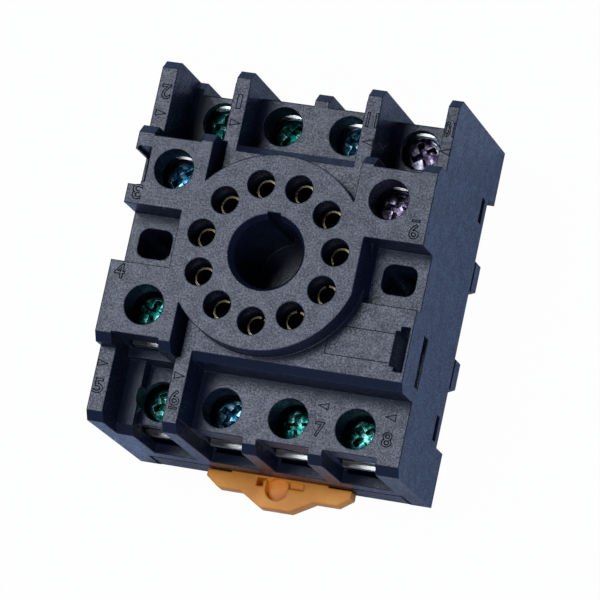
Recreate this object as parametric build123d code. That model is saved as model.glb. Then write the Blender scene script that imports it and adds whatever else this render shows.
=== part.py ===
from build123d import *
import os
from math import atan2, cos, degrees, radians, sin

# Eleven-pin relay socket with screw terminals, for a 35 mm rail or two panel screws.
# Millimetres. The origin is the centre of the pin circle, on the round plug-in face.
# +Z points out of that face, +Y towards the key of the centre hole, and -Y towards the rail clip.

# Outer body
body_width = 42.3
body_length = 50.7
back_z = -29.8
fit_gap = 0.15

# Levels of the moulded top, below the plug-in face at zero
floor_z = -3.45
recess_z = -5.25
tier_z = -10.1
low_tier_z = -12.6
notch_floor_z = -21.5
cover_z = -24.6
rail_z = -26.2

# Pin circle and centre hole
pin_count = 11
pin_circle = 19.05
pin_hole = 3.8
boss_radius = 13.5
key_bore = 9.5
key_lead = 10.6
key_lead_depth = 1.1
key_bore_depth = 14.0
key_slot = 1.8
key_slot_reach = 5.5

# Terminal grid
near_x = 4.72
far_inset = 6.95
block_inset = 5.95
row_inset = 5.5
block_y = 9.5

# Rows of walls along the two ends
mid_edge = 14.0
mid_chamfer = 1.1
lip_inset = 2.0
block_lip_edge = 13.75
end_chamfer = 1.2
block_end = 15.2
fin = 2.1
leg = 2.0
fin_x = 9.35
left_fin = 2.25
right_fin = 1.55
left_wall_top = 3.35
left_wall_bottom = 4.55
right_wall = 3.25

# Raised terminal blocks
block_width = 10.65
block_recess_y = 4.0
block_near_leg = 1.7
block_far_leg = 2.25
cleft_width = 0.7
cleft_z = -8.6

# Screw terminal
access_hole = 5.5
lip = 3.8
head_drop = 4.7
head_diameter = 5.2
head_height = 2.1
head_round = 0.55
cross_width = 0.9
cross_length = 3.3
cross_depth = 1.1
shank = 2.94
shank_below = 2.8
thread_gap = 0.05
washer_x = 6.0
washer_y = 6.2
washer_thick = 0.8
washer_hole = 3.3
plate_width = 6.2
plate_thick = 1.0
plate_back = 3.2
plate_reach = 3.8
block_plate_reach = 4.0
cavity_width = 6.6
cavity_back = 3.4

# Contact strip between the screw and the pin
neck_width = 2.0
neck_shift = 1.6
neck_gap = 0.2
riser_width = 2.4
riser_thick = 0.8
riser_overlap = 1.5
sleeve_radius = 1.5
sleeve_bore = 1.2
sleeve_top = -3.4
sleeve_bottom = -12.0
sleeve_slit = 0.5
riser_inset = 0.05

# Panel screw holes
panel_inset = 3.8
panel_hole_x = 4.7
panel_hole_y = 4.1
panel_corner = 1.3
panel_square_depth = 14.0
recess_wall_top = 12.87
recess_wall_foot = 13.6

# Slots for the hold-down spring and snap windows of the rear cover
spring_slot_inset = 1.3
spring_slot_wide = 1.85
spring_slot_narrow = 1.2
spring_slot_y = 9.6
spring_slot_length = 4.8
spring_slot_full = 6.1
spring_slot_z = -12.2
side_window_length = 7.1
side_window = 2.1
side_window_z = -11.4
left_notch_depth = 1.75
left_notch = 4.9
left_notch_y = 9.1
left_notch_z = -5.0
snap_y = 15.45
snap_length = 3.2
snap_height = 1.4
snap_reach = 1.2
snap_face = 0.5

# Rear cover
cover_inset = 2.9
post_gap = 0.2
foot_hold = 1.75
foot_inset = 0.1
foot_length = 4.9
foot_slope = 1.2
foot_y = (6.45, -7.45)
rail_gap = 35.4
hook_reach = 1.2
hook_half = 9.0
rail_flange = 1.4

# Rail clip
clip_x = 0.3
clip_half = 10.4
clip_thick = 2.4
clip_tongue = 14.0
clip_slot = 11.0
clip_flange_gap = 0.1
clip_shoulder = 2.3
clip_corner = 1.3
clip_corner_x = 1.8
clip_neck_x = 5.35
clip_tab_x = 2.2
clip_tab = 4.15
clip_hook = 1.5
clip_hook_lead = 0.9
clip_hook_tip = 0.2
clip_hook_half = 5.2
clip_pocket = 1.6
clip_pocket_depth = 1.3
clip_pocket_drop = 1.3
clip_pocket_x = -0.2
clip_hole_x = -2.72
clip_hole = 0.95
clip_hole_depth = 1.9
clip_groove = 0.25
clip_groove_depth = 0.4
clip_groove_left = -2.5
clip_groove_right = 3.45
clip_recess_x = 2.55
clip_recess_width = 2.1
clip_recess_reach = 0.75
clip_rim = 0.05
clip_arm = 1.3
clip_arm_slit = 0.9
clip_arm_length = 5.0

half_x = body_width / 2
half_y = body_length / 2
far_x = half_x - far_inset
block_x = half_x - block_inset
row_y = half_y - row_inset
lip_edge = half_y - lip_inset
left_slot_top_x = left_wall_top - half_x
left_slot_bottom_x = left_wall_bottom - half_x
right_slot_x = half_x - right_wall
block_inner_x = half_x - block_width
block_slot_near = block_inner_x + block_near_leg
block_slot_far = half_x - block_far_leg
panel_x = half_x - panel_inset
spring_slot_x = half_x - spring_slot_inset
left_notch_x = half_x - left_notch_depth
cover_half = half_x - cover_inset
pin_radius = pin_circle / 2
small = 0.01
deep = 60.0
flat_sides = 16


def block(x0, x1, y0, y1, z0, z1):
    """A box between two corners, given as low and high values along each axis."""
    size = Box(abs(x1 - x0), abs(y1 - y0), abs(z1 - z0))
    return Pos((x0 + x1) / 2, (y0 + y1) / 2, (z0 + z1) / 2) * size


def rod(x, y, radius, z0, z1):
    """A round bar along Z between two heights."""
    return Pos(x, y, (z0 + z1) / 2) * Cylinder(radius, abs(z1 - z0))


def flat_bar(x, y, radius, z0, z1, across_corners=True):
    """A round bar that stays out of sight, drawn with flat sides so that its mesh stays light."""
    outline = RegularPolygon(radius, flat_sides, major_radius=across_corners)
    return Pos(x, y, z0) * extrude(outline, z1 - z0)


def flat_hole(x, y, radius, z0, z1):
    """The cut for such a hole, whose flats clear the given radius."""
    return flat_bar(x, y, radius, z0, z1, False)


def prism_x(points, x0, x1):
    """A closed outline of (y, z) points, carried along X from x0 to x1."""
    outline = Plane.YZ * Polyline(*points, close=True)
    return Pos(x0, 0, 0) * extrude(make_face(outline), amount=x1 - x0, dir=(1, 0, 0))


def prism_y(points, y0, y1):
    """A closed outline of (x, z) points, carried along Y from y0 to y1."""
    outline = Plane.XZ * Polyline(*points, close=True)
    return Pos(0, y0, 0) * extrude(make_face(outline), amount=y1 - y0, dir=(0, 1, 0))


def wall_to_end(x0, x1, side, y_from, y_end, chamfer, top):
    """A wall that runs to one end of the body, with its top corner cut at 45 degrees."""
    points = [
        (side * y_from, back_z),
        (side * y_end, back_z),
        (side * y_end, top - chamfer),
        (side * (y_end - chamfer), top),
        (side * y_from, top),
    ]
    return prism_x(points, x0, x1)


class Terminal:
    """One screw terminal: its number, screw axis, which end it faces, and its heights."""

    def __init__(self, number, x, y, top):
        self.number = number
        self.x = x
        self.y = y
        self.top = top
        self.out = 1 if y > 0 else -1
        self.raised = top > floor_z
        self.level = 0.0 if self.raised else tier_z
        self.lip_z = self.level - lip
        self.head_z = self.level - head_drop
        self.washer_z = self.head_z - head_height
        self.plate_z = self.washer_z - washer_thick
        self.seat_z = self.plate_z - plate_thick
        self.reach = block_plate_reach if self.raised else plate_reach
        self.face_y = block_lip_edge if self.raised else lip_edge
        angle = radians(90 + (number - 0.5) * 360 / pin_count)
        self.pin = (pin_radius * cos(angle), pin_radius * sin(angle))
        shift = max(-neck_shift, min(neck_shift, self.pin[0] - x))
        self.neck_start = (x + shift, y - self.out * (plate_back - neck_width / 2))
        dx = self.neck_start[0] - self.pin[0]
        dy = self.neck_start[1] - self.pin[1]
        self.neck_angle = degrees(atan2(dy, dx))
        self.neck_length = (dx * dx + dy * dy) ** 0.5

    def span_y(self, back, front):
        """Low and high Y of a piece that reaches so far behind and in front of the screw."""
        ends = (self.y - self.out * back, self.y + self.out * front)
        return min(ends), max(ends)


terminals = [
    Terminal(1, -near_x, row_y, tier_z),
    Terminal(2, -far_x, row_y, low_tier_z),
    Terminal(3, -block_x, block_y, 0.0),
    Terminal(4, -block_x, -block_y, 0.0),
    Terminal(5, -far_x, -row_y, low_tier_z),
    Terminal(6, -near_x, -row_y, tier_z),
    Terminal(7, near_x, -row_y, tier_z),
    Terminal(8, far_x, -row_y, tier_z),
    Terminal(9, block_x, block_y, 0.0),
    Terminal(10, far_x, row_y, low_tier_z),
    Terminal(11, near_x, row_y, tier_z),
]


def along_neck(terminal, start, end, width, z0, z1):
    """A bar between two distances from the pin axis, on the line towards the screw."""
    bar = block(start, end, -width / 2, width / 2, z0, z1)
    return Pos(*terminal.pin, 0) * Rot(0, 0, terminal.neck_angle) * bar


def raised_block(side_x, side_y):
    """A terminal block level with the plug-in face, with two legs beside its wire slot."""
    inner = side_x * block_inner_x
    outer = side_x * half_x
    body = block(inner, outer, side_y * block_recess_y, side_y * block_lip_edge, tier_z, 0)
    near_leg = wall_to_end(inner, side_x * block_slot_near, side_y, mid_edge / 2, block_end, end_chamfer, 0)
    far_leg = wall_to_end(side_x * block_slot_far, outer, side_y, mid_edge / 2, block_end, end_chamfer, 0)
    return body + near_leg + far_leg


def body_shell():
    """The outside of the moulded body, before its holes are cut."""
    shape = block(-half_x, half_x, -half_y, half_y, back_z, notch_floor_z)
    shape += block(-half_x, half_x, -lip_edge, lip_edge, back_z, tier_z)
    middle = [
        (-mid_edge - mid_chamfer, back_z),
        (mid_edge + mid_chamfer, back_z),
        (mid_edge + mid_chamfer, floor_z - mid_chamfer),
        (mid_edge, floor_z),
        (-mid_edge, floor_z),
        (-mid_edge - mid_chamfer, floor_z - mid_chamfer),
    ]
    shape += prism_x(middle, -half_x, half_x)
    shape += rod(0, 0, boss_radius, back_z, 0)
    for side_x, side_y in ((-1, 1), (-1, -1), (1, 1)):
        shape += raised_block(side_x, side_y)
    return shape


def end_walls():
    """The tall fins and low legs that part the wire entries at both ends."""
    walls = []
    for side in (1, -1):
        tall = [(-fin_x, fin, leg)]
        low = [(0, fin, leg)]
        if side > 0:
            tall.append((fin_x, fin, leg))
            walls.append(wall_to_end(half_x - right_fin, half_x, side, mid_edge, half_y, end_chamfer, floor_z))
        else:
            low.append((fin_x, fin, leg))
        walls.append(wall_to_end(-half_x, left_fin - half_x, side, mid_edge, half_y, end_chamfer, floor_z))
        slot_x = left_slot_top_x if side > 0 else left_slot_bottom_x
        top = low_tier_z if side > 0 else tier_z
        walls.append(wall_to_end(left_fin - half_x - small, slot_x, side, mid_edge, half_y, end_chamfer, top))
        walls.append(wall_to_end(right_slot_x, half_x, side, mid_edge, half_y, end_chamfer, top))
        for centre, thick, thin in tall:
            walls.append(block(centre - thick / 2, centre + thick / 2, side * mid_edge, side * lip_edge, tier_z, floor_z))
            walls.append(wall_to_end(centre - thin / 2, centre + thin / 2, side, lip_edge - small, half_y,
                                     end_chamfer, floor_z))
        for centre, thick, thin in low:
            walls.append(wall_to_end(centre - thin / 2, centre + thin / 2, side, lip_edge - small, half_y,
                                     end_chamfer, tier_z))
    return walls


def low_tier_cut(terminal):
    """The pocket that sets a corner terminal's top lower, so that wires pass over it."""
    left = left_fin - half_x if terminal.out > 0 else left_slot_bottom_x
    x0 = left if terminal.x < 0 else fin_x + fin / 2
    x1 = -fin_x - fin / 2 if terminal.x < 0 else half_x - right_fin
    start = mid_edge + mid_chamfer
    return block(x0, x1, terminal.out * start, terminal.out * half_y, low_tier_z, tier_z + small)


def front_notch(terminal):
    """The open notch between two legs, in front of the lip that covers the clamp."""
    out = terminal.out
    if terminal.raised:
        side = 1 if terminal.x > 0 else -1
        x0 = side * block_slot_near
        x1 = side * block_slot_far
        return block(x0, x1, out * block_lip_edge, out * (block_end + small), terminal.seat_z, small)
    if abs(terminal.x) < fin_x:
        x0, x1 = leg / 2, fin_x - leg / 2
    else:
        left = left_slot_top_x if out > 0 else left_slot_bottom_x
        x0, x1 = fin_x + leg / 2, -left if terminal.x < 0 else right_slot_x
    side = 1 if terminal.x > 0 else -1
    return block(side * x0, side * x1, out * lip_edge, out * (half_y + small), notch_floor_z, tier_z)


def clamp_cuts(terminal):
    """Screw access hole, clamp space, contact channel and pin hole of one terminal."""
    hole = rod(terminal.x, terminal.y, access_hole / 2, terminal.lip_z - small, small)
    front = max(terminal.face_y - abs(terminal.y), terminal.reach + neck_gap)
    y0, y1 = terminal.span_y(cavity_back, front + small)
    half = cavity_width / 2
    space = block(terminal.x - half, terminal.x + half, y0, y1, cover_z - small, terminal.lip_z)
    channel = along_neck(terminal, 0, terminal.neck_length, neck_width + 2 * neck_gap,
                         cover_z - small, terminal.plate_z + neck_gap / 2)
    cuts = [hole, space, channel]
    cuts.append(rod(*terminal.pin, pin_hole / 2, cover_z - small, small))
    if not terminal.raised:
        far = sleeve_bore + riser_thick + 2 * neck_gap
        cuts.append(along_neck(terminal, 0, far, riser_width + 2 * neck_gap, cover_z - small,
                               sleeve_bottom + riser_overlap + neck_gap))
    return cuts


def key_hole():
    """Centre hole with a conical lead-in and the key slot towards +Y."""
    bore = rod(0, 0, key_bore / 2, -key_bore_depth, small)
    lead = Pos(0, 0, -key_lead_depth / 2) * Cone(key_bore / 2, key_lead / 2, key_lead_depth)
    slot = block(-key_slot / 2, key_slot / 2, 0, key_slot_reach, -key_bore_depth, small)
    return bore + lead + slot


def panel_hole(side):
    """Hole for a panel screw: a rounded square at the top, and round below it."""
    foot = recess_z - panel_square_depth
    outline = RectangleRounded(panel_hole_x, panel_hole_y, panel_corner)
    square = Pos(side * panel_x, 0, foot) * extrude(outline, amount=small - foot)
    return square + rod(side * panel_x, 0, panel_hole_y / 2, back_z - small, foot + small)


def side_recess(side):
    """The lowered bay round a panel screw hole, open to the side, with a sloped inner wall."""
    points = [
        (side * recess_wall_top, small),
        (side * recess_wall_foot, recess_z),
        (side * (half_x + 1), recess_z),
        (side * (half_x + 1), small),
    ]
    return prism_y(points, -block_recess_y, block_recess_y)


def spring_slots():
    """Slots for the legs of a relay hold-down spring: closed on the right, open on the left."""
    cuts = []
    for side in (1, -1):
        y = -side * spring_slot_y
        x0 = side * (spring_slot_x - spring_slot_wide / 2)
        x1 = side * (spring_slot_x + spring_slot_wide / 2)
        narrow = side * (spring_slot_x + spring_slot_wide / 2 - spring_slot_narrow)
        half = spring_slot_length / 2
        full = spring_slot_full / 2
        cuts.append(block(x0, x1, y - half, y + half, spring_slot_z, small))
        cuts.append(block(narrow, x1, y - full, y + full, spring_slot_z, small if side > 0 else left_notch_z))
        window = side_window_length / 2
        cuts.append(block(narrow, side * (half_x + 1), y - window, y + window, side_window_z,
                          side_window_z + side_window))
    notch = left_notch / 2
    cuts.append(block(-half_x - 1, -left_notch_x, left_notch_y - notch, left_notch_y + notch, left_notch_z, small))
    return cuts


def corner_gaps():
    """Narrow clefts between the two left blocks and the middle floor."""
    cuts = []
    for side in (1, -1):
        cleft = block(-block_inner_x, -block_inner_x + cleft_width, side * block_recess_y,
                      side * (mid_edge + mid_chamfer - small), cleft_z, small)
        cuts.append(cleft - rod(0, 0, boss_radius, -deep, deep))
    return cuts


def snap_window(side_x, side_y):
    """Window in the side wall that a snap nose of the rear cover catches in."""
    half = snap_length / 2 + fit_gap
    return block(side_x * (cover_half - snap_reach), side_x * (half_x + 1), side_y * snap_y - half,
                 side_y * snap_y + half, cover_z - fit_gap, cover_z + snap_height)


def make_housing():
    """The moulded body, in one piece."""
    shape = body_shell()
    for wall_piece in end_walls():
        shape += wall_piece
    cuts = [key_hole(), block(-cover_half - fit_gap, cover_half + fit_gap, -deep, deep, back_z - 1, cover_z)]
    cuts.append(block(-deep, deep, -rail_gap / 2, rail_gap / 2, back_z - 1, rail_z))
    for terminal in terminals:
        cuts.append(front_notch(terminal))
        cuts.extend(clamp_cuts(terminal))
        if terminal.top == low_tier_z:
            cuts.append(low_tier_cut(terminal))
    for side in (1, -1):
        cuts.append(side_recess(side))
        cuts.append(panel_hole(side))
        cuts.append(snap_window(side, 1))
        cuts.append(snap_window(side, -1))
    cuts.extend(spring_slots())
    cuts.extend(corner_gaps())
    for cut in cuts:
        shape -= cut
    return shape


def support_post(terminal):
    """A post of the rear cover that carries a terminal plate, with a hole for the screw end."""
    y0, y1 = terminal.span_y(plate_back, terminal.face_y - abs(terminal.y) - post_gap / 2)
    half = cavity_width / 2 - post_gap
    post = block(terminal.x - half, terminal.x + half, y0, y1, cover_z - small, terminal.seat_z)
    hole = flat_hole(terminal.x, terminal.y, washer_hole / 2, terminal.seat_z - shank_below - plate_thick / 2,
                     terminal.seat_z + small)
    return post - hole


def rail_foot(side, y):
    """A foot that stands in the hollow of the rail, level with the back."""
    half = foot_length / 2
    points = [
        (y - half, rail_z),
        (y + half, rail_z),
        (y + half, back_z),
        (y - half + foot_slope, back_z),
    ]
    x0, x1 = sorted((side * (cover_half - foot_hold), side * (half_x - foot_inset)))
    return prism_x(points, x0, x1)


def snap_nose(side_x, side_y):
    """A short upright tongue of the rear cover with a nose that catches in the side window."""
    half = snap_length / 2
    inner = cover_half - snap_reach + fit_gap
    outer = cover_half + snap_reach
    rise = cover_z + snap_height - fit_gap
    points = [
        (side_x * inner, cover_z - small),
        (side_x * outer, cover_z - small),
        (side_x * outer, cover_z + snap_face),
        (side_x * cover_half, rise),
        (side_x * inner, rise),
    ]
    nose = prism_y(points, side_y * snap_y - half, side_y * snap_y + half)
    keep = block(side_x * inner, side_x * outer, side_y * snap_y - half, side_y * snap_y + half, cover_z, 0)
    return nose & keep


def clip_channel():
    """The guide for the rail clip: a wide groove with a narrower opening at the back."""
    half = clip_tongue / 2 + fit_gap
    groove = block(-half, half, -half_y - 1, -rail_gap / 2 + small, rail_z - clip_thick - fit_gap, rail_z + fit_gap)
    mouth = block(-clip_slot / 2, clip_slot / 2, -half_y - 1, -rail_gap / 2 + small, back_z - 1, rail_z)
    return Pos(clip_x, 0, 0) * (groove + mouth)


def make_rear_cover():
    """The cover that closes the back, carries the terminal plates and holds the rail clip."""
    end = half_y - fit_gap / 3
    shape = block(-cover_half, cover_half, -end, end, back_z, cover_z)
    shape -= block(-deep, deep, -rail_gap / 2, rail_gap / 2, back_z - 1, rail_z)
    for terminal in terminals:
        shape += support_post(terminal)
    shape += block(-hook_half, hook_half, rail_gap / 2 - hook_reach, rail_gap / 2 + small, back_z, rail_z - rail_flange)
    for side in (1, -1):
        for y in foot_y:
            shape += rail_foot(side, y)
        shape += snap_nose(side, 1)
        shape += snap_nose(side, -1)
        notch = panel_hole_y / 2 + fit_gap
        reach = side * (panel_x - panel_hole_x / 2 - fit_gap)
        shape -= block(reach, side * (cover_half + 1), -notch, notch, back_z, cover_z + small)
    return shape - clip_channel()


def make_rail_clip():
    """The sliding clip: a finger tab outside, a tongue in the guide, and a hook for the rail."""
    front = -half_y - clip_flange_gap
    top = rail_z
    flange = Polyline(
        (-clip_half, front),
        (-clip_half, front - clip_shoulder + clip_corner),
        (-clip_half + clip_corner_x, front - clip_shoulder),
        (-clip_neck_x, front - clip_shoulder),
        (-clip_tab_x, front - clip_tab),
        (clip_tab_x, front - clip_tab),
        (clip_neck_x, front - clip_shoulder),
        (clip_half - clip_corner_x, front - clip_shoulder),
        (clip_half, front - clip_shoulder + clip_corner),
        (clip_half, front),
        close=True,
    )
    shape = Pos(0, 0, top - clip_thick) * extrude(make_face(flange), amount=clip_thick)
    inner_y = -rail_gap / 2
    shape += block(-clip_tongue / 2, clip_tongue / 2, front - small, inner_y, top - clip_thick, top)
    hook = [
        (inner_y - small, top - clip_thick),
        (inner_y + clip_hook - clip_hook_lead, top - clip_thick),
        (inner_y + clip_hook, top - rail_flange - clip_hook_tip),
        (inner_y + clip_hook, top - rail_flange),
        (inner_y - small, top - rail_flange),
    ]
    shape += prism_x(hook, -clip_hook_half, clip_hook_half)
    for side in (1, -1):
        x0 = side * (clip_tongue / 2 - clip_arm)
        shape -= block(x0, x0 - side * clip_arm_slit, inner_y - clip_arm_length, inner_y + small,
                       top - clip_thick - small, top + small)
    rim = front - clip_rim
    groove = rim - clip_groove
    pocket = rod(clip_pocket_x, rim - clip_pocket_drop, clip_pocket, top - clip_pocket_depth, top + small)
    pocket += block(clip_pocket_x - clip_pocket, clip_pocket_x + clip_pocket, rim - clip_pocket_drop, groove,
                    top - clip_pocket_depth, top + small)
    line = block(clip_groove_left, clip_groove_right, groove, rim, top - clip_groove_depth, top + small)
    bay = block(clip_recess_x - clip_recess_width / 2, clip_recess_x + clip_recess_width / 2,
                groove - clip_recess_reach, groove, top - clip_groove_depth, top + small)
    hole = block(clip_hole_x - clip_hole / 2, clip_hole_x + clip_hole / 2, groove - clip_hole, rim,
                 top - clip_hole_depth, top + small)
    return Pos(clip_x, 0, 0) * (shape - pocket - line - bay - hole)


def make_contact(terminal):
    """One stamped and rolled contact strip: clamp plate, neck, riser and pin sleeve."""
    y0, y1 = terminal.span_y(plate_back, terminal.reach)
    half = plate_width / 2
    shape = block(terminal.x - half, terminal.x + half, y0, y1, terminal.seat_z, terminal.plate_z)
    start = sleeve_bore + riser_thick / 4
    shape += along_neck(terminal, start, terminal.neck_length, neck_width, terminal.seat_z, terminal.plate_z)
    shape += flat_bar(*terminal.pin, sleeve_radius, sleeve_bottom, sleeve_top)
    if not terminal.raised:
        low = sleeve_bore + riser_inset
        shape += along_neck(terminal, low, low + riser_thick, riser_width, terminal.seat_z,
                            sleeve_bottom + riser_overlap)
    shape -= flat_hole(*terminal.pin, sleeve_bore, sleeve_bottom - small, sleeve_top + small)
    shape -= along_neck(terminal, -sleeve_radius - 1, 0, sleeve_slit, sleeve_bottom - small, sleeve_top + small)
    shape -= flat_hole(terminal.x, terminal.y, shank / 2 + thread_gap, terminal.seat_z - small,
                       terminal.plate_z + small)
    return shape


def make_washer(terminal):
    """The square clamping washer that rides under the screw head."""
    shape = block(terminal.x - washer_x / 2, terminal.x + washer_x / 2, terminal.y - washer_y / 2,
                  terminal.y + washer_y / 2, terminal.plate_z, terminal.washer_z)
    return shape - flat_hole(terminal.x, terminal.y, washer_hole / 2, terminal.plate_z - small,
                             terminal.washer_z + small)


def make_screw(terminal):
    """A pan-head terminal screw with a cross recess."""
    radius = head_diameter / 2
    head = rod(0, 0, radius, -head_height, 0)
    rim = head.edges().group_by(Axis.Z)[-1]
    head = chamfer(rim, head_round)
    end = terminal.seat_z - shank_below - terminal.head_z
    shape = head + flat_bar(0, 0, shank / 2, end, -head_height)
    bar = block(-cross_length / 2, cross_length / 2, -cross_width / 2, cross_width / 2, -cross_depth, small)
    shape -= bar + Rot(0, 0, 90) * bar
    turn = 20 + 37 * terminal.number
    return Pos(terminal.x, terminal.y, terminal.head_z) * Rot(0, 0, turn) * shape


def write(name, shape):
    """Write one sub-part as a STEP file named after its node."""
    export_step(shape, "parts/" + name + ".step")


os.makedirs("parts", exist_ok=True)
write("housing", make_housing())
write("rear_cover", make_rear_cover())
write("rail_clip", make_rail_clip())
for terminal in terminals:
    label = "{:02d}".format(terminal.number)
    write("contact_strip_" + label, make_contact(terminal))
    write("clamp_washer_" + label, make_washer(terminal))
    write("terminal_screw_" + label, make_screw(terminal))
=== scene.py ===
import math
import bpy
import numpy as np
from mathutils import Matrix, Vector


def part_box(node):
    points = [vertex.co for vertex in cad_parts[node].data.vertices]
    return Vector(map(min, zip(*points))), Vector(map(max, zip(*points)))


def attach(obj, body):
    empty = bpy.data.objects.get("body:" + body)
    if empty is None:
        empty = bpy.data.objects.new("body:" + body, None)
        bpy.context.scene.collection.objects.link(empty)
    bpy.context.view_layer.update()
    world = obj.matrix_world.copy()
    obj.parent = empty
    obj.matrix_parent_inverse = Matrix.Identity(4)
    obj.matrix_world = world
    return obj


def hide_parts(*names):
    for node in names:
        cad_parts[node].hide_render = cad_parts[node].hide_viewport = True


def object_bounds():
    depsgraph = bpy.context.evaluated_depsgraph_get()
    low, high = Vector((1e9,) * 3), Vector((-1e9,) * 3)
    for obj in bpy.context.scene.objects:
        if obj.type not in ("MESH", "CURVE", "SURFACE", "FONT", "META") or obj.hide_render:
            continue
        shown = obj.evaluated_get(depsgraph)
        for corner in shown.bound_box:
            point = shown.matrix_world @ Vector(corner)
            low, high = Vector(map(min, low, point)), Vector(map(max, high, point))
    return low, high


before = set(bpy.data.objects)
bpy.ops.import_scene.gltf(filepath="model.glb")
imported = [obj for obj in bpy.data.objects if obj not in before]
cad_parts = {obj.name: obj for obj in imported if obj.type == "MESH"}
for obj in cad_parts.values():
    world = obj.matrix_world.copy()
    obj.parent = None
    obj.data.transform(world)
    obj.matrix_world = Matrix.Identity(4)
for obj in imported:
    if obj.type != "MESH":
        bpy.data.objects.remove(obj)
cad_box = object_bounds()
scene = bpy.context.scene
scene.view_settings.view_transform = "Standard"

# Housing and rear cover
# Both are injection moulded in black glass-filled PBT. The tool is spark eroded, so flat faces are
# matt with a faint mottling, and edges are a little rounded where the melt did not fill them.


def linear(code):
    """An sRGB hex colour as linear RGBA."""
    srgb = np.array([int(code[i:i + 2], 16) for i in (1, 3, 5)]) / 255
    rgb = np.where(srgb <= 0.04045, srgb / 12.92, ((srgb + 0.055) / 1.055) ** 2.4)
    return (*rgb.tolist(), 1.0)


def node(tree, kind, settings=None, **inputs):
    """Add one shader node. Settings are its properties, or a ramp's stops as (position, hex colour) pairs,
    and inputs are values or sockets to link."""
    made = tree.nodes.new(kind)
    for name, value in (settings or {}).items():
        if name != "stops":
            setattr(made, name, value)
            continue
        for index, (position, code) in enumerate(value):
            while len(made.color_ramp.elements) <= index:
                made.color_ramp.elements.new(position)
            made.color_ramp.elements[index].position = position
            made.color_ramp.elements[index].color = linear(code)
    for name, value in inputs.items():
        key = int(name[1:]) if name[0] == "i" and name[1:].isdigit() else name.replace("_", " ")
        if isinstance(value, bpy.types.NodeSocket):
            tree.links.new(value, made.inputs[key])
        else:
            made.inputs[key].default_value = value
    return made


def empty_material(name):
    """A material with only its output node, and the object's coordinates."""
    material = bpy.data.materials.new(name)
    material.use_nodes = True
    tree = material.node_tree
    tree.nodes.clear()
    place = node(tree, "ShaderNodeTexCoord").outputs["Object"]
    return material, tree, place


def dress(piece, material):
    """Give a piece one material."""
    piece.data.materials.clear()
    piece.data.materials.append(material)


def moulded_pbt(name, dark, light, grain_mm=0.26, mottle_mm=1.8):
    """Black glass-filled PBT: grain_mm is the width of the pits that the eroded tool leaves, mottle_mm
    that of the paler clouds where glass lies near the skin. Both scatter the gloss, and the pits are
    drawn about four times too coarse to show in the render. Edges are rounded by 0.25 mm."""
    material, tree, place = empty_material(name)
    cloud = node(tree, "ShaderNodeTexNoise", Vector=place, Scale=1000 / mottle_mm, Detail=4.0,
                 Roughness=0.6)
    pits = node(tree, "ShaderNodeTexNoise", Vector=place, Scale=1000 / grain_mm, Detail=3.0, Roughness=0.75)
    both = node(tree, "ShaderNodeMath", {"operation": "MULTIPLY_ADD"}, i0=cloud.outputs[0], i1=0.3,
                i2=pits.outputs[0])
    colour = node(tree, "ShaderNodeValToRGB", {"stops": [(0.5, dark), (0.8, light)]}, Fac=both.outputs[0])
    rough = node(tree, "ShaderNodeMapRange", i0=both.outputs[0], i1=0.5, i2=0.8, i3=0.5, i4=0.22)
    round_edge = node(tree, "ShaderNodeBevel", {"samples": 10}, Radius=0.00025)
    bump = node(tree, "ShaderNodeBump", Strength=0.7, Distance=0.000025, Height=pits.outputs[0],
                Normal=round_edge.outputs[0])
    skin = node(tree, "ShaderNodeBsdfPrincipled", Base_Color=colour.outputs[0], Roughness=rough.outputs[0],
                IOR=1.42, Normal=bump.outputs[0])
    node(tree, "ShaderNodeOutputMaterial", Surface=skin.outputs[0])
    return material


housing_pbt = moulded_pbt("moulded black PBT", "#090e1a", "#1d2740")
cover_pbt = moulded_pbt("moulded black PBT, rear cover", "#080c17", "#1b243a")
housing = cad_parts["housing"]
rear_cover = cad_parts["rear_cover"]
dress(housing, housing_pbt)
dress(rear_cover, cover_pbt)

# Moulded figures and arrows
# The mould carries each terminal number as a thin engraved outline, with an arrow beside it that
# points to its screw. They stand as fine ridges on the face, coloured near black and matt all over
# as painted shade of the engraved strokes.

figure_height = 0.0020
arrow_length = 0.0014
arrow_width = 0.00085
ridge_width = 0.00013
ridge_rise = 0.00004
ridge_foot = 0.00002
underline_half = np.array([0.00055, 0.00012])
fin_z = -0.00345
tier_z = -0.0101


def ridges(first, last, width, low, high):
    """Straight ridges on the lines from first to last, two arrays of (x, y). Each is a bar whose four
    corners are the line's ends moved on by just under half the width along it and half across it, so
    that no two bars share an edge. It stands from low to high."""
    along = last - first
    along = along / np.linalg.norm(along, axis=1, keepdims=True)
    side = np.stack([-along[:, 1], along[:, 0]], axis=1) * width / 2
    cap = along * width * 0.48
    flat = np.stack([first - cap - side, last + cap - side, last + cap + side, first - cap + side], axis=1)
    flat = flat.reshape(-1, 2)
    points = np.concatenate([np.column_stack([flat, np.full(len(flat), z)]) for z in (low, high)])
    lift = len(flat)
    base = np.arange(len(first))[:, None] * 4
    faces = [base + np.array([[3, 2, 1, 0]]), base + lift + np.array([[0, 1, 2, 3]])]
    for i in range(4):
        k = (i + 1) % 4
        faces.append(base + np.array([[i, k, k + lift, i + lift]]))
    return points, np.concatenate(faces)


def mesh_piece(name, points, faces, smooth=False):
    """A mesh object at the origin from arrays of points and of faces."""
    mesh = bpy.data.meshes.new(name)
    mesh.from_pydata(np.asarray(points).tolist(), [], [list(map(int, face)) for face in faces])
    mesh.polygons.foreach_set("use_smooth", np.full(len(mesh.polygons), smooth))
    mesh.update()
    piece = bpy.data.objects.new(name, mesh)
    scene.collection.objects.link(piece)
    return piece


def turned(flat, degrees, middle):
    """Flat points turned about the upright and moved to a middle."""
    angle = math.radians(degrees)
    matrix = np.array([[math.cos(angle), -math.sin(angle)], [math.sin(angle), math.cos(angle)]])
    return flat @ matrix.T + np.array(middle)


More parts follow.
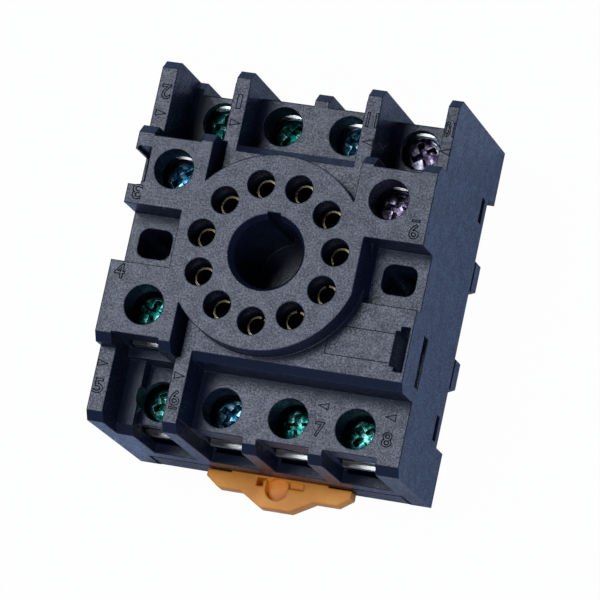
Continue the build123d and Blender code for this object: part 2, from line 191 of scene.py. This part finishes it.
def figure_outline(text, width):
    """The outline of a number, as (first, last) ends of lines in a box of the given width and the figure
    height: the edges of the letter mesh that have a face on one side only."""
    curve = bpy.data.curves.new("figure", "FONT")
    curve.body = text
    curve.resolution_u = 4
    curve.offset = 0.012
    holder = bpy.data.objects.new("figure", curve)
    letter = bpy.data.meshes.new_from_object(holder)
    place = np.empty(len(letter.vertices) * 3)
    letter.vertices.foreach_get("co", place)
    place = place.reshape(-1, 3)[:, :2]
    ends = np.empty(len(letter.edges) * 2, dtype=int)
    letter.edges.foreach_get("vertices", ends)
    used = np.empty(len(letter.loops), dtype=int)
    letter.loops.foreach_get("edge_index", used)
    rim = ends.reshape(-1, 2)[np.bincount(used, minlength=len(letter.edges)) == 1]
    low, high = place[rim].min((0, 1)), place[rim].max((0, 1))
    place = (place - (low + high) / 2) / (high - low) * np.array([width, figure_height])
    bpy.data.objects.remove(holder)
    bpy.data.curves.remove(curve)
    bpy.data.meshes.remove(letter)
    return place[rim[:, 0]], place[rim[:, 1]]


# Number, its middle, width and turn, the height of its face, and its arrow's middle and turn.
figures = [
    ("1", (-0.00936, 0.02082), 0.0006, 180, fin_z, (-0.00931, 0.01780), 0),
    ("2", (-0.01993, 0.02080), 0.0013, 180, fin_z, (-0.02002, 0.01775), 0),
    ("3", (-0.01962, 0.00568), 0.0013, 180, 0.0, None, 0),
    ("4", (-0.01958, -0.00540), 0.0014, 0, 0.0, None, 0),
    ("5", (-0.02021, -0.02068), 0.0013, 0, fin_z, (-0.02028, -0.01755), 0),
    ("6", (-0.00929, -0.02071), 0.0013, 0, fin_z, (-0.00931, -0.01767), 0),
    ("7", (0.00925, -0.02065), 0.0013, 0, tier_z, (0.00921, -0.01740), 180),
    ("8", (0.01876, -0.02061), 0.0013, 0, tier_z, (0.01867, -0.01756), 180),
    ("9", (0.01949, 0.00566), 0.0013, 180, 0.0, None, 0),
    ("10", (0.02038, 0.02095), 0.00145, 180, fin_z, (0.02034, 0.01787), 180),
    ("11", (0.00955, 0.02080), 0.0015, 180, fin_z, (0.00955, 0.01770), 180),
]
underlines = {"6": (-0.0093, -0.02212), "9": (0.01948, 0.00712)}


def shaded_line(name, dark, light, gloss):
    """PBT in the shade of a step or a gap: nearly black and matt, with a mottling 0.3 mm wide."""
    material, tree, place = empty_material(name)
    cloud = node(tree, "ShaderNodeTexNoise", Vector=place, Scale=1000 / 0.3, Detail=2.0)
    colour = node(tree, "ShaderNodeValToRGB", {"stops": [(0.4, dark), (0.6, light)]}, Fac=cloud.outputs[0])
    rough = node(tree, "ShaderNodeMapRange", i0=cloud.outputs[0], i1=0.4, i2=0.6, i3=0.85, i4=0.7)
    skin = node(tree, "ShaderNodeBsdfPrincipled", Base_Color=colour.outputs[0], Roughness=rough.outputs[0],
                IOR=1.42)
    skin.inputs["Specular IOR Level"].default_value = gloss
    node(tree, "ShaderNodeOutputMaterial", Surface=skin.outputs[0])
    return material


# Near-black matt colour for the figure ridges and the field frame: painted shade of the moulded strokes.
painted_stroke_shade = shaded_line("flank of a moulded ridge", "#0f131b", "#151a24", 0.3)
for text, middle, width, turn, face_z, arrow_middle, arrow_turn in figures:
    first, last = (turned(ends, turn, middle) for ends in figure_outline(text, width))
    if arrow_middle:
        tip = np.array([(arrow_length / 2, 0), (-arrow_length / 2, arrow_width / 2),
                        (-arrow_length / 2, -arrow_width / 2)])
        tip = turned(tip, arrow_turn, arrow_middle)
        first, last = np.concatenate([first, tip]), np.concatenate([last, np.roll(tip, -1, axis=0)])
    if text in underlines:
        bar = np.array([(-1, -1), (1, -1), (1, 1), (-1, 1)]) * underline_half + np.array(underlines[text])
        first, last = np.concatenate([first, bar]), np.concatenate([last, np.roll(bar, -1, axis=0)])
    bars = ridges(first, last, ridge_width, face_z - ridge_foot, face_z + ridge_rise)
    piece = mesh_piece("figure_" + text, *bars)
    dress(piece, painted_stroke_shade)
    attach(piece, "socket")

# Marking field
# A fine moulded line frames the empty field beside the round face. It is part of the housing, and the
# field stays free for a marking. The line is drawn as a low ridge in the near-black colour of the
# figures, painted shade of the line.

field_left, field_right = 0.0098, 0.0190
field_low, field_high = -0.01165, -0.00762
field_top_start, field_side_end = 0.01135, -0.0095
frame_width, frame_rise = 0.00012, 0.00003
corner = np.array([(field_top_start, field_high), (field_right, field_high), (field_left, field_low),
                   (field_right, field_low), (field_left, field_side_end), (field_left, field_low)])
bars = ridges(corner[0::2], corner[1::2], frame_width, fin_z - ridge_foot, fin_z + frame_rise)
marking_frame = mesh_piece("marking_frame", *bars)
dress(marking_frame, painted_stroke_shade)
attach(marking_frame, "socket")

# Joints of the rear cover
# The cover is pressed in between the side walls of the housing. Its edge at both ends, and the narrow
# gap that parts each of its four feet from the wall, are drawn as thin near-black strips standing on
# the faces: painted shade of the gaps.

joint_z, joint_back, joint_half = -0.0246, -0.0295, 0.01825
joint_gap, joint_foot, joint_rise = 0.0003, 0.0001, 0.00002
end_face = 0.02535
foot_side, foot_gap, foot_gap_z = 0.02105, 0.0011, -0.02677
foot_gap_low, foot_gap_high = np.array([-0.0087, 0.0052]), np.array([-0.0056, 0.0083])


def upright(points, quarters):
    """Flat work stood up on the end face towards -Y, where (x, y, h) goes to (x, -h, y), a quarter turn
    about X, and then turned on about Z by so many quarter turns."""
    x, y = points[:, 0], -points[:, 2]
    for _ in range(quarters):
        x, y = -y, x
    return np.column_stack([x, y, points[:, 1]])


# Near-black and matt: painted shade inside the gaps.
painted_gap_shade = shaded_line("dark gap between two mouldings", "#010204", "#03050a", 0.1)
joint_first = np.array([(-joint_half, joint_z), (-joint_half, joint_z), (joint_half, joint_z)])
joint_last = np.array([(joint_half, joint_z), (-joint_half, joint_back), (joint_half, joint_back)])
end_lines = ridges(joint_first, joint_last, joint_gap, end_face - joint_foot, end_face + joint_rise)
foot_level = np.full(2, foot_gap_z)
right_lines, left_lines = (ridges(np.column_stack([way * foot_gap_low, foot_level]),
                                  np.column_stack([way * foot_gap_high, foot_level]), foot_gap,
                                  foot_side - joint_foot, foot_side + joint_rise) for way in (1, -1))
for name, quarters, lines in (("cover_joint_low", 0, end_lines), ("cover_joint_high", 2, end_lines),
                              ("foot_joints_right", 1, right_lines), ("foot_joints_left", 3, left_lines)):
    joint = mesh_piece(name, upright(lines[0], quarters), lines[1])
    dress(joint, painted_gap_shade)
    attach(joint, "socket")

# Rail clip
# The sliding clip is moulded in tough ochre acetal. Acetal is a little waxy and lets light into its
# edges, so its faces are satin and its corners look warmer than its flats.


def acetal(name, shade, light):
    """Ochre acetal: a satin skin with soft flow clouds 4 mm wide, pits 0.3 mm wide, and a little light
    inside. Its edges are rounded by 0.4 mm."""
    material, tree, place = empty_material(name)
    cloud = node(tree, "ShaderNodeTexNoise", Vector=place, Scale=1000 / 4.0, Detail=4.0, Roughness=0.6)
    colour = node(tree, "ShaderNodeValToRGB", {"stops": [(0.35, shade), (0.65, light)]},
                  Fac=cloud.outputs[0])
    pits = node(tree, "ShaderNodeTexNoise", Vector=place, Scale=1000 / 0.3, Detail=2.0)
    round_edge = node(tree, "ShaderNodeBevel", {"samples": 10}, Radius=0.0004)
    bump = node(tree, "ShaderNodeBump", Strength=0.4, Distance=0.00004, Height=pits.outputs[0],
                Normal=round_edge.outputs[0])
    skin = node(tree, "ShaderNodeBsdfPrincipled", Base_Color=colour.outputs[0], Roughness=0.45, IOR=1.48,
                Normal=bump.outputs[0])
    skin.inputs["Subsurface Weight"].default_value = 0.15
    skin.inputs["Subsurface Radius"].default_value = (0.0012, 0.0006, 0.0002)
    skin.inputs["Subsurface Scale"].default_value = 0.6
    node(tree, "ShaderNodeOutputMaterial", Surface=skin.outputs[0])
    return material


rail_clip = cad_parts["rail_clip"]
dress(rail_clip, acetal("moulded ochre acetal", "#e88e1c", "#fba532"))

# Contact strips
# Each strip is stamped from brass, and only the clamp plate is tin plated. The colour is drawn darker
# towards the socket's axis as painted shade: the split sleeve that grips the pin, deep in its hole, is
# a dark brown brass that gives only a few olive glints, and the tin greys towards each screw.


def strip_with_painted_shade(name):
    """Brass with tin on its outer part, drawn darker towards the axis as painted shade of the pin and
    screw holes: the distance from the socket's axis, 40 mm counting as 1, with a wave 0.9 mm wide added,
    picks dark brown brass below about 12.5 mm and tin beyond that brightens outwards. Rolling leaves
    scratches 0.1 mm wide and 1.1 mm long."""
    material, tree, place = empty_material(name)
    flat = node(tree, "ShaderNodeMapping", Vector=place, Scale=(25.0, 25.0, 0.0))
    reach = node(tree, "ShaderNodeVectorMath", {"operation": "LENGTH"}, i0=flat.outputs[0])
    wave = node(tree, "ShaderNodeTexNoise", Vector=place, Scale=1000 / 0.9, Detail=3.0)
    drift = node(tree, "ShaderNodeMath", {"operation": "MULTIPLY_ADD"}, i0=wave.outputs[0], i1=0.1,
                 i2=reach.outputs["Value"])
    # Darker stops nearer the axis: painted shade of the deep pin and screw holes.
    stops = [(0.30, "#75694b"), (0.345, "#9b9072"), (0.385, "#8f8a7c"), (0.6, "#c9c6be")]
    colour = node(tree, "ShaderNodeValToRGB", {"stops": stops}, Fac=drift.outputs[0])
    rough = node(tree, "ShaderNodeMapRange", i0=drift.outputs[0], i1=0.33, i2=0.4, i3=0.38, i4=0.33)
    grain = node(tree, "ShaderNodeMapping", Vector=place, Scale=(9000.0, 900.0, 9000.0))
    scratch = node(tree, "ShaderNodeTexNoise", Vector=grain.outputs[0], Scale=1.0, Detail=2.0)
    bump = node(tree, "ShaderNodeBump", Strength=0.3, Distance=0.00003, Height=scratch.outputs[0])
    skin = node(tree, "ShaderNodeBsdfPrincipled", Base_Color=colour.outputs[0], Metallic=1.0,
                Roughness=rough.outputs[0], Normal=bump.outputs[0])
    node(tree, "ShaderNodeOutputMaterial", Surface=skin.outputs[0])
    return material


brass_tin_painted_shade = strip_with_painted_shade("tin-plated brass strip")
for number in range(1, 12):
    dress(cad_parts["contact_strip_%02d" % number], brass_tin_painted_shade)

# Clamp washers
# Square washers, blanked from steel and zinc plated. Their grey is drawn far darker than zinc, painted
# shade of the deep screw holes they sit in.


def passivated(name, first, second, third, rough=0.3, patch_mm=1.3):
    """Zinc plate with a thin passivation: its colours drift in patches patch_mm wide, over a grain of
    0.12 mm and dents 0.7 mm wide from the barrel plating."""
    material, tree, place = empty_material(name)
    patch = node(tree, "ShaderNodeTexNoise", Vector=place, Scale=1000 / patch_mm, Detail=3.0, Roughness=0.6)
    colour = node(tree, "ShaderNodeValToRGB", {"stops": [(0.35, first), (0.5, second), (0.66, third)]},
                  Fac=patch.outputs[0])
    grain = node(tree, "ShaderNodeTexNoise", Vector=place, Scale=1000 / 0.12, Detail=2.0)
    dent = node(tree, "ShaderNodeTexNoise", Vector=place, Scale=1000 / 0.7, Detail=1.0)
    waves = node(tree, "ShaderNodeBump", Strength=0.6, Distance=0.0001, Height=dent.outputs[0])
    bump = node(tree, "ShaderNodeBump", Strength=0.5, Distance=0.00003, Height=grain.outputs[0],
                Normal=waves.outputs[0])
    skin = node(tree, "ShaderNodeBsdfPrincipled", Base_Color=colour.outputs[0], Metallic=1.0,
                Roughness=rough, Normal=bump.outputs[0])
    node(tree, "ShaderNodeOutputMaterial", Surface=skin.outputs[0])
    return material


# Dark grey colours: painted shade of the screw holes.
zinc = passivated("zinc-plated washer, painted shade", "#1d2427", "#3c4749", "#6c7778", 0.35, 2.0)
for number in range(1, 12):
    dress(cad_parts["clamp_washer_%02d" % number], zinc)

# Terminal screws
# M3 pan head screws with a cross recess, cold formed and rolled, zinc plated with a blue to green
# passivation that shifts in colour from screw to screw. The colours are drawn much darker than the
# metal, painted shade of the deep screw holes.

head_radius = 0.0026
head_height = 0.0021
dome = 0.00035
edge_round = 0.0005
recess_width = 0.0008
recess_length = 0.0031
recess_depth = 0.0012
shank_radius = 0.00147
shank_root = 0.00122
thread_pitch = 0.0005
shank_length = 0.0046
tip_radius, tip_length = 0.0006, 0.0003
centre_radius = 0.00002
recess_wall = 0.00008
crown_rings, rim_rings, side_rings, thread_rings = 34, 9, 5, 90
ring_gap = 0.0001
first_angle, angle_step = 20, 37


def screw_surface(around=112):
    """The whole screw as one surface of revolution with a relief: u runs from the middle of the head
    over its rounded rim, under it and down the thread to the tip, and v runs round the axis. The cross
    recess lowers the head where it lies in one of two crossed bars, whose ends slope six times as far as
    their sides, and the thread moves the radius in and out with height plus turn."""
    flat = np.linspace(centre_radius, head_radius - edge_round, crown_rings)
    bend = np.linspace(0, np.pi / 2, rim_rings)
    rim_r = head_radius - edge_round + edge_round * np.sin(bend)
    rim_z = -edge_round + edge_round * np.cos(bend)
    crown = -dome * (flat / head_radius) ** 2
    drop = crown[-1]
    side_z = np.linspace(drop - edge_round - ring_gap, -head_height, side_rings)
    under_r = np.linspace(head_radius - ring_gap / 2, shank_radius, side_rings)
    thread_z = np.linspace(-head_height - ring_gap, -head_height - shank_length, thread_rings)
    radius = np.concatenate([flat, rim_r[1:], np.full(side_rings, head_radius), under_r,
                             np.full(thread_rings, shank_radius), [tip_radius]])
    height = np.concatenate([crown, drop + rim_z[1:], side_z, np.full(side_rings, -head_height),
                             thread_z, [-head_height - shank_length - tip_length]])
    turn = np.linspace(0, 2 * np.pi, around, endpoint=False)
    r = np.repeat(radius[:, None], around, axis=1)
    z = np.repeat(height[:, None], around, axis=1)
    thread = slice(-thread_rings - 1, -1)
    phase = (z[thread] / thread_pitch - turn / (2 * np.pi)) % 1.0
    tooth = np.abs(2 * phase - 1)
    r[thread] = shank_root + (shank_radius - shank_root) * tooth
    x = r * np.cos(turn)
    y = r * np.sin(turn)
    inside = []
    for a, b in ((x[:crown_rings], y[:crown_rings]), (y[:crown_rings], x[:crown_rings])):
        across = np.clip((recess_width / 2 - np.abs(a)) / recess_wall + 0.5, 0, 1)
        length = np.clip((recess_length / 2 - np.abs(b)) / (recess_wall * 6) + 0.5, 0, 1)
        inside.append(across * length)
    z[:crown_rings] -= recess_depth * np.maximum(*inside)
    points = np.column_stack([x.ravel(), y.ravel(), z.ravel()])
    ring = np.arange(around)
    after = (ring + 1) % around
    row = np.arange(len(radius) - 1)[:, None] * around
    quads = np.stack([row + ring, row + ring + around, row + after + around, row + after], axis=-1)
    return points, quads.reshape(-1, 4), around


# The hues are the passivation's; their dark first stops are painted shade of the holes.
green = passivated("zinc, green passivation", "#032624", "#15665c", "#86c9ba")
blue = passivated("zinc, blue passivation", "#041e2e", "#1f5f76", "#9cc2d1")
clear = passivated("zinc, clear passivation", "#1f1b25", "#6a5b71", "#d0cdd7")
finish = {1: green, 2: green, 3: blue, 4: green, 5: green, 6: blue, 7: green, 8: green, 9: clear,
          10: clear, 11: blue}
base, quads, around = screw_surface()
cap_top = list(range(around))
cap_tip = list(range(len(base) - 1, len(base) - 1 - around, -1))
for number in range(1, 12):
    low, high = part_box("terminal_screw_%02d" % number)
    centre = [(low[0] + high[0]) / 2, (low[1] + high[1]) / 2, high[2]]
    angle = math.radians(first_angle + angle_step * number)
    cos, sin = math.cos(angle), math.sin(angle)
    spin = np.array([[cos, -sin, 0], [sin, cos, 0], [0, 0, 1]])
    mesh_points = base @ spin.T + np.array(centre)
    screw = mesh_piece("screw_head_and_thread_%02d" % number, mesh_points,
                       quads.tolist() + [cap_top, cap_tip], smooth=True)
    dress(screw, finish[number])
    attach(screw, "screw_%02d" % number)
    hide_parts("terminal_screw_%02d" % number)

# Floor
# A wide sheet that shows white to the camera and keeps a soft shadow of the socket. To glossy rays it
# glows pale blue, a painted reflection of light in the upright faces, and in a patch under the socket
# and past its two ends that glow is dimmed as painted shadow.

floor_half, floor_gap = 3.0, 0.00005
painted_shadow_half_x, painted_shadow_half_y = 0.0205, 0.036
floor_flat = np.array([(-1, -1), (1, -1), (1, 1), (-1, 1)]) * floor_half
floor_level = np.full(4, float(cad_box[0][2]) - floor_gap)
floor = mesh_piece("floor", np.column_stack([floor_flat, floor_level]), [[0, 1, 2, 3]])
floor_paint, tree, place = empty_material("white studio sheet")
ray = node(tree, "ShaderNodeLightPath")
sheet = node(tree, "ShaderNodeBsdfDiffuse", Color=linear("#c3cde2"))
glow = node(tree, "ShaderNodeEmission", Color=linear("#ffffff"), Strength=1.0)
# Seen only by glossy rays: a painted reflection of light.
painted_reflection_glow = node(tree, "ShaderNodeEmission", Color=linear("#a8c6ff"), Strength=1.0)
seen = node(tree, "ShaderNodeMath", {"operation": "MULTIPLY"}, i0=ray.outputs["Is Camera Ray"], i1=0.98)
# The glow's share drops from 0.5 to 0.04 inside a box round the socket: painted shadow.
scaled = node(tree, "ShaderNodeMapping", Vector=place, Scale=(1 / painted_shadow_half_x, 1 / painted_shadow_half_y, 0.0))
apart = node(tree, "ShaderNodeVectorMath", {"operation": "ABSOLUTE"}, i0=scaled.outputs[0])
parts = node(tree, "ShaderNodeSeparateXYZ", Vector=apart.outputs[0])
edge = node(tree, "ShaderNodeMath", {"operation": "MAXIMUM"}, i0=parts.outputs["X"], i1=parts.outputs["Y"])
painted_reflection_strength = node(tree, "ShaderNodeMapRange", i0=edge.outputs[0], i1=0.95, i2=1.05, i3=0.04, i4=0.5)
painted_reflection_share = node(tree, "ShaderNodeMath", {"operation": "MULTIPLY"}, i0=ray.outputs["Is Glossy Ray"],
                i1=painted_reflection_strength.outputs[0])
shown = node(tree, "ShaderNodeMixShader", i0=seen.outputs[0], i1=sheet.outputs[0], i2=glow.outputs[0])
both = node(tree, "ShaderNodeMixShader", i0=painted_reflection_share.outputs[0], i1=shown.outputs[0],
            i2=painted_reflection_glow.outputs[0])
node(tree, "ShaderNodeOutputMaterial", Surface=both.outputs[0])
dress(floor, floor_paint)

# Light
# One large soft box leans over the upper left. Four weak boxes fill the right side, the front, the
# clip and the back, and the world is a very weak grey room.

world = bpy.data.worlds.new("plain room")
scene.world = world
world.use_nodes = True
world.node_tree.nodes["Background"].inputs["Color"].default_value = linear("#c4cede")
world.node_tree.nodes["Background"].inputs["Strength"].default_value = 0.01


def soft_box(name, place, target, size, watts, code):
    """A square lamp at a place, turned to face a target."""
    lamp = bpy.data.lights.new(name, "AREA")
    lamp.shape = "RECTANGLE"
    lamp.size = size
    lamp.size_y = size
    lamp.energy = watts
    lamp.color = linear(code)[:3]
    item = bpy.data.objects.new(name, lamp)
    scene.collection.objects.link(item)
    way = np.array(target) - np.array(place)
    way = way / np.linalg.norm(way)
    item.location = place
    item.rotation_euler = (math.acos(-way[2]), 0, math.atan2(-way[0], way[1]))


socket_middle = (0.0, 0.0, -0.01)
soft_box("overhead box", (-0.236, 0.095, 0.598), socket_middle, 0.34, 3.1, "#e8f1ff")
soft_box("right fill", (0.62, 0.0, 0.18), socket_middle, 0.2, 0.3, "#a6beff")
soft_box("front fill", (0.0, -0.62, 0.18), socket_middle, 0.2, 0.1, "#b0c4ff")
soft_box("clip fill", (0.15, -0.36, 0.50), (0.0, -0.01, -0.02), 0.3, 1.75, "#e8eeff")
soft_box("back fill", (0.45, 0.42, 0.20), socket_middle, 0.2, 0.2, "#c8d6ff")

# Camera
# Its place and turn were solved from the pin circle and the corners of the socket in the photograph.
# A long lens keeps the view nearly parallel.

lens = bpy.data.cameras.new("photograph view")
lens.lens = 300.0
lens.sensor_width = 36.0
lens.clip_start = 0.01
lens.clip_end = 20.0
camera = bpy.data.objects.new("photograph view", lens)
camera.location = (0.2030, -0.13672, 0.61766)
camera.rotation_euler = (math.radians(14.8997), math.radians(14.9040), math.radians(12.3455))
scene.collection.objects.link(camera)
scene.camera = camera
